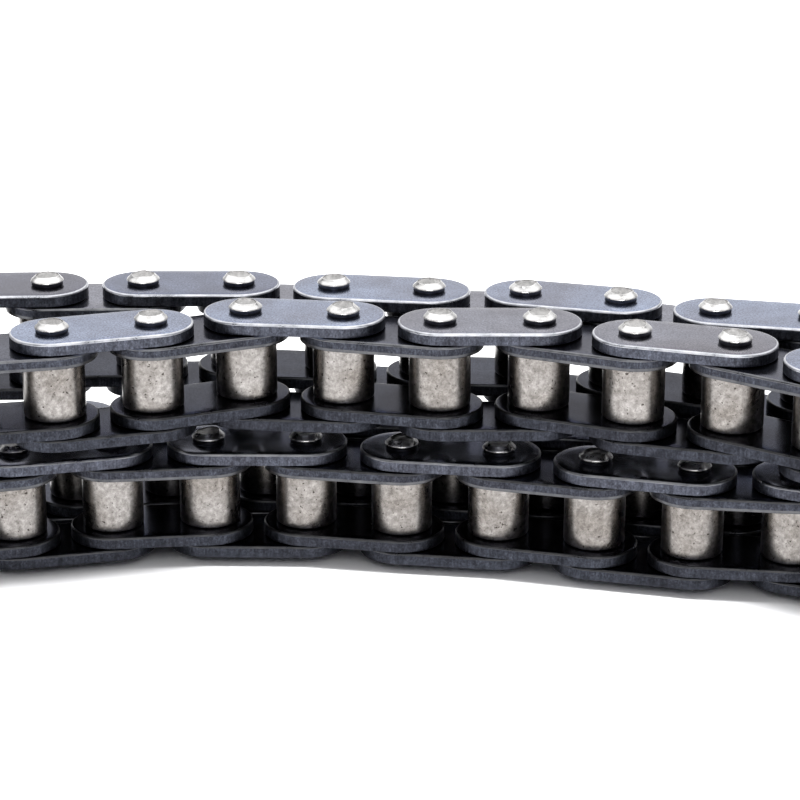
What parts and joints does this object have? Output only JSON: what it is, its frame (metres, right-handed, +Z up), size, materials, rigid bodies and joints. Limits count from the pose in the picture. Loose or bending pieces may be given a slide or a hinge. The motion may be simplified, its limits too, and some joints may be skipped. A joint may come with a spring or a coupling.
{
  "type": "roller chain",
  "caption": "Single-strand roller chain lying on its side, folded into four rows, for driving half-inch-pitch sprockets.",
  "frame": {"origin": "centre of the chain's bounding box, on the surface it lies on", "axes": "+X along the rows, towards the turned-back ends; +Y from the front rows to the rear rows; +Z up, along every pin"},
  "size_m": [0.1564, 0.049, 0.0344],
  "materials": {
    "blued_steel": "dark blued, satin",
    "roller_steel": "bare, satin"
  },
  "bodies": {
    "lower_inner_link_00": {"lower_inner_link_00": "blued_steel"},
    "lower_outer_link_01": {"lower_outer_link_01": "blued_steel"},
    "lower_inner_link_02": {"lower_inner_link_02": "blued_steel"},
    "lower_outer_link_03": {"lower_outer_link_03": "blued_steel"},
    "lower_inner_link_04": {"lower_inner_link_04": "blued_steel"},
    "lower_outer_link_05": {"lower_outer_link_05": "blued_steel"},
    "lower_inner_link_06": {"lower_inner_link_06": "blued_steel"},
    "lower_outer_link_07": {"lower_outer_link_07": "blued_steel"},
    "lower_inner_link_08": {"lower_inner_link_08": "blued_steel"},
    "lower_outer_link_09": {"lower_outer_link_09": "blued_steel"},
    "lower_inner_link_10": {"lower_inner_link_10": "blued_steel"},
    "lower_outer_link_11": {"lower_outer_link_11": "blued_steel"},
    "lower_inner_link_12": {"lower_inner_link_12": "blued_steel"},
    "lower_outer_link_13": {"lower_outer_link_13": "blued_steel"},
    "lower_inner_link_14": {"lower_inner_link_14": "blued_steel"},
    "lower_outer_link_15": {"lower_outer_link_15": "blued_steel"},
    "lower_inner_link_16": {"lower_inner_link_16": "blued_steel"},
    "lower_outer_link_17": {"lower_outer_link_17": "blued_steel"},
    "lower_inner_link_18": {"lower_inner_link_18": "blued_steel"},
    "lower_outer_link_19": {"lower_outer_link_19": "blued_steel"},
    "lower_inner_link_20": {"lower_inner_link_20": "blued_steel"},
    "lower_outer_link_21": {"lower_outer_link_21": "blued_steel"},
    "lower_inner_link_22": {"lower_inner_link_22": "blued_steel"},
    "lower_roller_02": {"lower_roller_02": "roller_steel"},
    "lower_roller_03": {"lower_roller_03": "roller_steel"},
    "lower_roller_04": {"lower_roller_04": "roller_steel"},
    "lower_roller_05": {"lower_roller_05": "roller_steel"},
    "lower_roller_06": {"lower_roller_06": "roller_steel"},
    "lower_roller_07": {"lower_roller_07": "roller_steel"},
    "upper_inner_link_00": {"upper_inner_link_00": "blued_steel"},
    "upper_outer_link_01": {"upper_outer_link_01": "blued_steel"},
    "upper_inner_link_02": {"upper_inner_link_02": "blued_steel"},
    "upper_outer_link_03": {"upper_outer_link_03": "blued_steel"},
    "upper_inner_link_04": {"upper_inner_link_04": "blued_steel"},
    "upper_outer_link_05": {"upper_outer_link_05": "blued_steel"},
    "upper_inner_link_06": {"upper_inner_link_06": "blued_steel"},
    "upper_outer_link_07": {"upper_outer_link_07": "blued_steel"},
    "upper_inner_link_08": {"upper_inner_link_08": "blued_steel"},
    "upper_outer_link_09": {"upper_outer_link_09": "blued_steel"},
    "upper_inner_link_10": {"upper_inner_link_10": "blued_steel"},
    "upper_outer_link_11": {"upper_outer_link_11": "blued_steel"},
    "upper_inner_link_12": {"upper_inner_link_12": "blued_steel"},
    "upper_outer_link_13": {"upper_outer_link_13": "blued_steel"},
    "upper_inner_link_14": {"upper_inner_link_14": "blued_steel"},
    "upper_outer_link_15": {"upper_outer_link_15": "blued_steel"},
    "upper_inner_link_16": {"upper_inner_link_16": "blued_steel"},
    "upper_outer_link_17": {"upper_outer_link_17": "blued_steel"},
    "upper_inner_link_18": {"upper_inner_link_18": "blued_steel"},
    "upper_outer_link_19": {"upper_outer_link_19": "blued_steel"},
    "upper_inner_link_20": {"upper_inner_link_20": "blued_steel"},
    "upper_outer_link_21": {"upper_outer_link_21": "blued_steel"},
    "upper_inner_link_22": {"upper_inner_link_22": "blued_steel"},
    "upper_roller_01": {"upper_roller_01": "roller_steel"},
    "upper_roller_02": {"upper_roller_02": "roller_steel"},
    "upper_roller_03": {"upper_roller_03": "roller_steel"},
    "upper_roller_04": {"upper_roller_04": "roller_steel"},
    "upper_roller_05": {"upper_roller_05": "roller_steel"},
    "upper_roller_06": {"upper_roller_06": "roller_steel"},
    "upper_roller_07": {"upper_roller_07": "roller_steel"},
    "upper_roller_08": {"upper_roller_08": "roller_steel"}
  },
  "joints": [
    {"name": "upper_length_lift", "type": "slide", "parent": "lower_inner_link_10", "child": "upper_inner_link_10", "axis": [0, 0, 1], "range_m": [0, 0.06]},
    {"name": "lower_pin_01", "type": "hinge", "parent": "lower_outer_link_01", "child": "lower_inner_link_00", "pos_m": [-0.05041, 0.00163, 0.00852], "axis": [0, 0, -1], "range_deg": [-50, 0]},
    {"name": "lower_pin_02", "type": "hinge", "parent": "lower_inner_link_02", "child": "lower_outer_link_01", "pos_m": [-0.03804, 0.00448, 0.00852], "axis": [0, 0, 1], "range_deg": [0, 50]},
    {"name": "lower_pin_03", "type": "hinge", "parent": "lower_outer_link_03", "child": "lower_inner_link_02", "pos_m": [-0.02541, 0.00581, 0.00852], "axis": [0, 0, -1], "range_deg": [-50, 0]},
    {"name": "lower_pin_04", "type": "hinge", "parent": "lower_inner_link_04", "child": "lower_outer_link_03", "pos_m": [-0.01271, 0.00559, 0.00852], "axis": [0, 0, 1], "range_deg": [0, 50]},
    {"name": "lower_pin_05", "type": "hinge", "parent": "lower_outer_link_05", "child": "lower_inner_link_04", "pos_m": [-0.0002, 0.00338, 0.00852], "axis": [0, 0, -1], "range_deg": [-50, 0]},
    {"name": "lower_pin_06", "type": "hinge", "parent": "lower_inner_link_06", "child": "lower_outer_link_05", "pos_m": [0.01238, 0.00162, 0.00852], "axis": [0, 0, 1], "range_deg": [0, 50]},
    {"name": "lower_pin_07", "type": "hinge", "parent": "lower_outer_link_07", "child": "lower_inner_link_06", "pos_m": [0.02464, -0.00167, 0.00852], "axis": [0, 0, -1], "range_deg": [-50, 0]},
    {"name": "lower_pin_08", "type": "hinge", "parent": "lower_inner_link_08", "child": "lower_outer_link_07", "pos_m": [0.03697, -0.00474, 0.00852], "axis": [0, 0, 1], "range_deg": [0, 50]},
    {"name": "lower_pin_09", "type": "hinge", "parent": "lower_outer_link_09", "child": "lower_inner_link_08", "pos_m": [0.04957, -0.00629, 0.00852], "axis": [0, 0, -1], "range_deg": [-50, 0]},
    {"name": "lower_pin_10", "type": "hinge", "parent": "lower_inner_link_10", "child": "lower_outer_link_09", "pos_m": [0.06126, -0.01125, 0.00852], "axis": [0, 0, 1], "range_deg": [0, 50]},
    {"name": "lower_pin_11", "type": "hinge", "parent": "lower_inner_link_10", "child": "lower_outer_link_11", "pos_m": [0.07258, -0.00549, 0.00852], "axis": [0, 0, 1], "range_deg": [-50, 0]},
    {"name": "lower_pin_12", "type": "hinge", "parent": "lower_outer_link_11", "child": "lower_inner_link_12", "pos_m": [0.06886, 0.00666, 0.00852], "axis": [0, 0, -1], "range_deg": [0, 50]},
    {"name": "lower_pin_13", "type": "hinge", "parent": "lower_inner_link_12", "child": "lower_outer_link_13", "pos_m": [0.05649, 0.0038, 0.00852], "axis": [0, 0, 1], "range_deg": [-50, 0]},
    {"name": "lower_pin_14", "type": "hinge", "parent": "lower_outer_link_13", "child": "lower_inner_link_14", "pos_m": [0.04407, 0.00644, 0.00852], "axis": [0, 0, -1], "range_deg": [0, 50]},
    {"name": "lower_pin_15", "type": "hinge", "parent": "lower_inner_link_14", "child": "lower_outer_link_15", "pos_m": [0.03169, 0.0093, 0.00852], "axis": [0, 0, 1], "range_deg": [-50, 0]},
    {"name": "lower_pin_16", "type": "hinge", "parent": "lower_outer_link_15", "child": "lower_inner_link_16", "pos_m": [0.01932, 0.01216, 0.00852], "axis": [0, 0, -1], "range_deg": [0, 50]},
    {"name": "lower_pin_17", "type": "hinge", "parent": "lower_inner_link_16", "child": "lower_outer_link_17", "pos_m": [0.00681, 0.01436, 0.00852], "axis": [0, 0, 1], "range_deg": [-50, 0]},
    {"name": "lower_pin_18", "type": "hinge", "parent": "lower_outer_link_17", "child": "lower_inner_link_18", "pos_m": [-0.0057, 0.01657, 0.00852], "axis": [0, 0, -1], "range_deg": [0, 50]},
    {"name": "lower_pin_19", "type": "hinge", "parent": "lower_inner_link_18", "child": "lower_outer_link_19", "pos_m": [-0.01836, 0.01745, 0.00852], "axis": [0, 0, 1], "range_deg": [-50, 0]},
    {"name": "lower_pin_20", "type": "hinge", "parent": "lower_outer_link_19", "child": "lower_inner_link_20", "pos_m": [-0.03105, 0.01679, 0.00852], "axis": [0, 0, -1], "range_deg": [0, 50]},
    {"name": "lower_pin_21", "type": "hinge", "parent": "lower_inner_link_20", "child": "lower_outer_link_21", "pos_m": [-0.04368, 0.01546, 0.00852], "axis": [0, 0, 1], "range_deg": [-50, 0]},
    {"name": "lower_pin_22", "type": "hinge", "parent": "lower_outer_link_21", "child": "lower_inner_link_22", "pos_m": [-0.05628, 0.01391, 0.00852], "axis": [0, 0, -1], "range_deg": [0, 50]},
    {"name": "lower_roller_02_spin", "type": "hinge", "parent": "lower_inner_link_02", "child": "lower_roller_02", "pos_m": [-0.03804, 0.00448, 0.00852], "axis": [0, 0, 1], "continuous": true},
    {"name": "lower_roller_03_spin", "type": "hinge", "parent": "lower_inner_link_02", "child": "lower_roller_03", "pos_m": [-0.02541, 0.00581, 0.00852], "axis": [0, 0, 1], "continuous": true},
    {"name": "lower_roller_04_spin", "type": "hinge", "parent": "lower_inner_link_04", "child": "lower_roller_04", "pos_m": [-0.01271, 0.00559, 0.00852], "axis": [0, 0, 1], "continuous": true},
    {"name": "lower_roller_05_spin", "type": "hinge", "parent": "lower_inner_link_04", "child": "lower_roller_05", "pos_m": [-0.0002, 0.00338, 0.00852], "axis": [0, 0, 1], "continuous": true},
    {"name": "lower_roller_06_spin", "type": "hinge", "parent": "lower_inner_link_06", "child": "lower_roller_06", "pos_m": [0.01238, 0.00162, 0.00852], "axis": [0, 0, 1], "continuous": true},
    {"name": "lower_roller_07_spin", "type": "hinge", "parent": "lower_inner_link_06", "child": "lower_roller_07", "pos_m": [0.02464, -0.00167, 0.00852], "axis": [0, 0, 1], "continuous": true},
    {"name": "upper_pin_01", "type": "hinge", "parent": "upper_outer_link_01", "child": "upper_inner_link_00", "pos_m": [-0.04431, -0.0012, 0.02583], "axis": [0, 0, -1], "range_deg": [-50, 0]},
    {"name": "upper_pin_02", "type": "hinge", "parent": "upper_inner_link_02", "child": "upper_outer_link_01", "pos_m": [-0.0321, 0.0023, 0.02583], "axis": [0, 0, 1], "range_deg": [0, 50]},
    {"name": "upper_pin_03", "type": "hinge", "parent": "upper_outer_link_03", "child": "upper_inner_link_02", "pos_m": [-0.02033, 0.00705, 0.02583], "axis": [0, 0, -1], "range_deg": [-50, 0]},
    {"name": "upper_pin_04", "type": "hinge", "parent": "upper_inner_link_04", "child": "upper_outer_link_03", "pos_m": [-0.0077, 0.00573, 0.02583], "axis": [0, 0, 1], "range_deg": [0, 50]},
    {"name": "upper_pin_05", "type": "hinge", "parent": "upper_outer_link_05", "child": "upper_inner_link_04", "pos_m": [0.00468, 0.00287, 0.02583], "axis": [0, 0, -1], "range_deg": [-50, 0]},
    {"name": "upper_pin_06", "type": "hinge", "parent": "upper_inner_link_06", "child": "upper_outer_link_05", "pos_m": [0.01738, 0.00287, 0.02583], "axis": [0, 0, 1], "range_deg": [0, 50]},
    {"name": "upper_pin_07", "type": "hinge", "parent": "upper_outer_link_07", "child": "upper_inner_link_06", "pos_m": [0.02915, -0.00189, 0.02583], "axis": [0, 0, -1], "range_deg": [-50, 0]},
    {"name": "upper_pin_08", "type": "hinge", "parent": "upper_inner_link_08", "child": "upper_outer_link_07", "pos_m": [0.04136, -0.00539, 0.02583], "axis": [0, 0, 1], "range_deg": [0, 50]},
    {"name": "upper_pin_09", "type": "hinge", "parent": "upper_outer_link_09", "child": "upper_inner_link_08", "pos_m": [0.05189, -0.01249, 0.02583], "axis": [0, 0, -1], "range_deg": [-50, 0]},
    {"name": "upper_pin_10", "type": "hinge", "parent": "upper_inner_link_10", "child": "upper_outer_link_09", "pos_m": [0.06289, -0.01884, 0.02583], "axis": [0, 0, 1], "range_deg": [0, 50]},
    {"name": "upper_pin_11", "type": "hinge", "parent": "upper_inner_link_10", "child": "upper_outer_link_11", "pos_m": [0.07187, -0.00986, 0.02583], "axis": [0, 0, 1], "range_deg": [-50, 0]},
    {"name": "upper_pin_12", "type": "hinge", "parent": "upper_outer_link_11", "child": "upper_inner_link_12", "pos_m": [0.06477, 0.00067, 0.02583], "axis": [0, 0, -1], "range_deg": [0, 50]},
    {"name": "upper_pin_13", "type": "hinge", "parent": "upper_inner_link_12", "child": "upper_outer_link_13", "pos_m": [0.05262, 0.00438, 0.02583], "axis": [0, 0, 1], "range_deg": [-50, 0]},
    {"name": "upper_pin_14", "type": "hinge", "parent": "upper_outer_link_13", "child": "upper_inner_link_14", "pos_m": [0.0402, 0.00702, 0.02583], "axis": [0, 0, -1], "range_deg": [0, 50]},
    {"name": "upper_pin_15", "type": "hinge", "parent": "upper_inner_link_14", "child": "upper_outer_link_15", "pos_m": [0.02834, 0.01157, 0.02583], "axis": [0, 0, 1], "range_deg": [-50, 0]},
    {"name": "upper_pin_16", "type": "hinge", "parent": "upper_outer_link_15", "child": "upper_inner_link_16", "pos_m": [0.01608, 0.01486, 0.02583], "axis": [0, 0, -1], "range_deg": [0, 50]},
    {"name": "upper_pin_17", "type": "hinge", "parent": "upper_inner_link_16", "child": "upper_outer_link_17", "pos_m": [0.00341, 0.01575, 0.02583], "axis": [0, 0, 1], "range_deg": [-50, 0]},
    {"name": "upper_pin_18", "type": "hinge", "parent": "upper_outer_link_17", "child": "upper_inner_link_18", "pos_m": [-0.00917, 0.01751, 0.02583], "axis": [0, 0, -1], "range_deg": [0, 50]},
    {"name": "upper_pin_19", "type": "hinge", "parent": "upper_inner_link_18", "child": "upper_outer_link_19", "pos_m": [-0.0218, 0.01884, 0.02583], "axis": [0, 0, 1], "range_deg": [-50, 0]},
    {"name": "upper_pin_20", "type": "hinge", "parent": "upper_outer_link_19", "child": "upper_inner_link_20", "pos_m": [-0.0345, 0.01884, 0.02583], "axis": [0, 0, -1], "range_deg": [0, 50]},
    {"name": "upper_pin_21", "type": "hinge", "parent": "upper_inner_link_20", "child": "upper_outer_link_21", "pos_m": [-0.04719, 0.0184, 0.02583], "axis": [0, 0, 1], "range_deg": [-50, 0]},
    {"name": "upper_pin_22", "type": "hinge", "parent": "upper_outer_link_21", "child": "upper_inner_link_22", "pos_m": [-0.05989, 0.01795, 0.02583], "axis": [0, 0, -1], "range_deg": [0, 50]},
    {"name": "upper_roller_01_spin", "type": "hinge", "parent": "upper_inner_link_00", "child": "upper_roller_01", "pos_m": [-0.04431, -0.0012, 0.02583], "axis": [0, 0, 1], "continuous": true},
    {"name": "upper_roller_02_spin", "type": "hinge", "parent": "upper_inner_link_02", "child": "upper_roller_02", "pos_m": [-0.0321, 0.0023, 0.02583], "axis": [0, 0, 1], "continuous": true},
    {"name": "upper_roller_03_spin", "type": "hinge", "parent": "upper_inner_link_02", "child": "upper_roller_03", "pos_m": [-0.02033, 0.00705, 0.02583], "axis": [0, 0, 1], "continuous": true},
    {"name": "upper_roller_04_spin", "type": "hinge", "parent": "upper_inner_link_04", "child": "upper_roller_04", "pos_m": [-0.0077, 0.00573, 0.02583], "axis": [0, 0, 1], "continuous": true},
    {"name": "upper_roller_05_spin", "type": "hinge", "parent": "upper_inner_link_04", "child": "upper_roller_05", "pos_m": [0.00468, 0.00287, 0.02583], "axis": [0, 0, 1], "continuous": true},
    {"name": "upper_roller_06_spin", "type": "hinge", "parent": "upper_inner_link_06", "child": "upper_roller_06", "pos_m": [0.01738, 0.00287, 0.02583], "axis": [0, 0, 1], "continuous": true},
    {"name": "upper_roller_07_spin", "type": "hinge", "parent": "upper_inner_link_06", "child": "upper_roller_07", "pos_m": [0.02915, -0.00189, 0.02583], "axis": [0, 0, 1], "continuous": true},
    {"name": "upper_roller_08_spin", "type": "hinge", "parent": "upper_inner_link_08", "child": "upper_roller_08", "pos_m": [0.04136, -0.00539, 0.02583], "axis": [0, 0, 1], "continuous": true}
  ]
}
